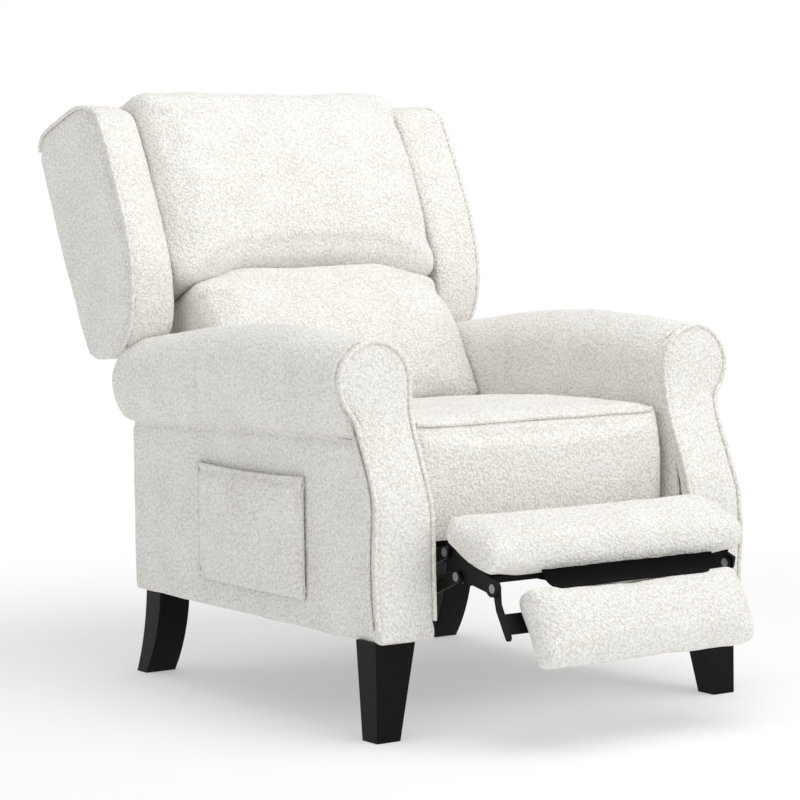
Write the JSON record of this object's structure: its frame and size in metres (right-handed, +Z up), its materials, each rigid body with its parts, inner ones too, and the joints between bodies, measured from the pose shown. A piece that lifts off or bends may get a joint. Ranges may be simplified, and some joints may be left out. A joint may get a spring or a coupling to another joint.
{
  "type": "wingback recliner",
  "caption": "Push-back wingback recliner with rolled arms, a folding two-pad footrest on steel links, tapered wooden legs and a side pocket",
  "frame": {"origin": "on the floor, under the middle of the chair's overall box", "axes": "+Z is up, +Y is the rear of the chair, which faces -Y, and +X is the sitter's left; the nodes are named left (-X) and right (+X) as seen from in front"},
  "size_m": [0.752, 1.2988, 1.0221],
  "materials": {
    "cream_boucle": "looped wool-blend boucle in warm off-white",
    "black_lacquer": "satin black lacquer on solid wood",
    "beech_timber": "planed, unfinished",
    "elastic_webbing": "woven elastic upholstery webbing",
    "black_steel": "satin black powder coat",
    "zinc_steel": "bright zinc plate"
  },
  "bodies": {
    "base": {"left_arm_cover": "cream_boucle", "left_arm_facing": "cream_boucle", "right_arm_cover": "cream_boucle", "right_arm_facing": "cream_boucle", "side_pocket": "cream_boucle", "leg_bolts": "zinc_steel", "front_left_leg": "black_lacquer", "front_right_leg": "black_lacquer", "rear_left_leg": "black_lacquer", "rear_right_leg": "black_lacquer", "rear_cross_rail": "beech_timber", "rear_panel": "cream_boucle", "base_cross_tube": "black_steel", "slide_studs": "zinc_steel", "rail_screws": "zinc_steel", "left_base_rail": "black_steel", "right_base_rail": "black_steel", "left_arm_frame": "beech_timber", "right_arm_frame": "beech_timber"},
    "seat": {"seat_cushion": "cream_boucle", "seat_box": "beech_timber", "seat_webbing": "elastic_webbing", "left_seat_plate": "black_steel", "right_seat_plate": "black_steel", "seat_cross_tube": "black_steel", "back_hinge_pins": "zinc_steel", "seat_pivot_pins": "zinc_steel"},
    "back": {"head_cushion": "cream_boucle", "lumbar_cushion": "cream_boucle", "left_wing": "cream_boucle", "right_wing": "cream_boucle", "wing_boards": "beech_timber", "back_bracket_bolts": "zinc_steel", "back_frame": "beech_timber", "left_back_bracket": "black_steel", "right_back_bracket": "black_steel", "outer_back_panel": "cream_boucle", "back_webbing": "elastic_webbing"},
    "swing": {"left_swing_link": "black_steel", "right_swing_link": "black_steel", "swing_link_pins": "zinc_steel"},
    "rear_swing": {"left_rear_swing_link": "black_steel", "right_rear_swing_link": "black_steel", "torque_tube": "black_steel"},
    "carrier": {"left_carrier_link": "black_steel", "right_carrier_link": "black_steel", "carrier_tail_pins": "zinc_steel"},
    "lift": {"left_lift_link": "black_steel", "right_lift_link": "black_steel"},
    "ottoman": {"bracket_pins": "zinc_steel", "upper_pad": "cream_boucle", "upper_pad_board": "beech_timber", "left_ottoman_bracket": "black_steel", "right_ottoman_bracket": "black_steel"},
    "lower_footrest": {"lower_pad": "cream_boucle", "lower_pad_board": "beech_timber", "left_hinge_arm": "black_steel", "right_hinge_arm": "black_steel"}
  },
  "joints": [
    {"name": "seat_slide", "type": "slide", "parent": "base", "child": "seat", "axis": [0, -1, 0], "range_m": [-0.0135, 0.0225]},
    {"name": "back_recline", "type": "hinge", "parent": "seat", "child": "back", "pos_m": [0, 0.165, 0.255], "axis": [-1, 0, 0], "range_deg": [-12, 20]},
    {"name": "footrest_open", "type": "hinge", "parent": "seat", "child": "swing", "pos_m": [0, -0.26198, 0.29598], "axis": [-1, 0, 0], "range_deg": [-70, 22]},
    {"name": "rear_swing_turn", "type": "hinge", "parent": "seat", "child": "rear_swing", "pos_m": [0, -0.22121, 0.27943], "axis": [-1, 0, 0], "range_deg": [-70, 22]},
    {"name": "carrier_turn", "type": "hinge", "parent": "swing", "child": "carrier", "pos_m": [0, -0.31394, 0.2345], "axis": [-1, 0, 0], "range_deg": [-22, 70]},
    {"name": "lift_turn", "type": "hinge", "parent": "swing", "child": "lift", "pos_m": [0, -0.34279, 0.20036], "axis": [-1, 0, 0], "range_deg": [-22, 70]},
    {"name": "ottoman_turn", "type": "hinge", "parent": "carrier", "child": "ottoman", "pos_m": [0, -0.43096, 0.28201], "axis": [-1, 0, 0], "range_deg": [-70, 22]},
    {"name": "lower_pad_turn", "type": "hinge", "parent": "ottoman", "child": "lower_footrest", "pos_m": [0, -0.54441, 0.23869], "axis": [-1, 0, 0], "range_deg": [-112, 35.2]}
  ],
  "couplings": [
    {"joint": "seat_slide", "follows": "back_recline", "m_per_rad": 0.063},
    {"joint": "rear_swing_turn", "follows": "footrest_open", "ratio": 1},
    {"joint": "carrier_turn", "follows": "footrest_open", "ratio": -1},
    {"joint": "lift_turn", "follows": "footrest_open", "ratio": -1},
    {"joint": "ottoman_turn", "follows": "footrest_open", "ratio": 1},
    {"joint": "lower_pad_turn", "follows": "footrest_open", "ratio": 1.6}
  ]
}
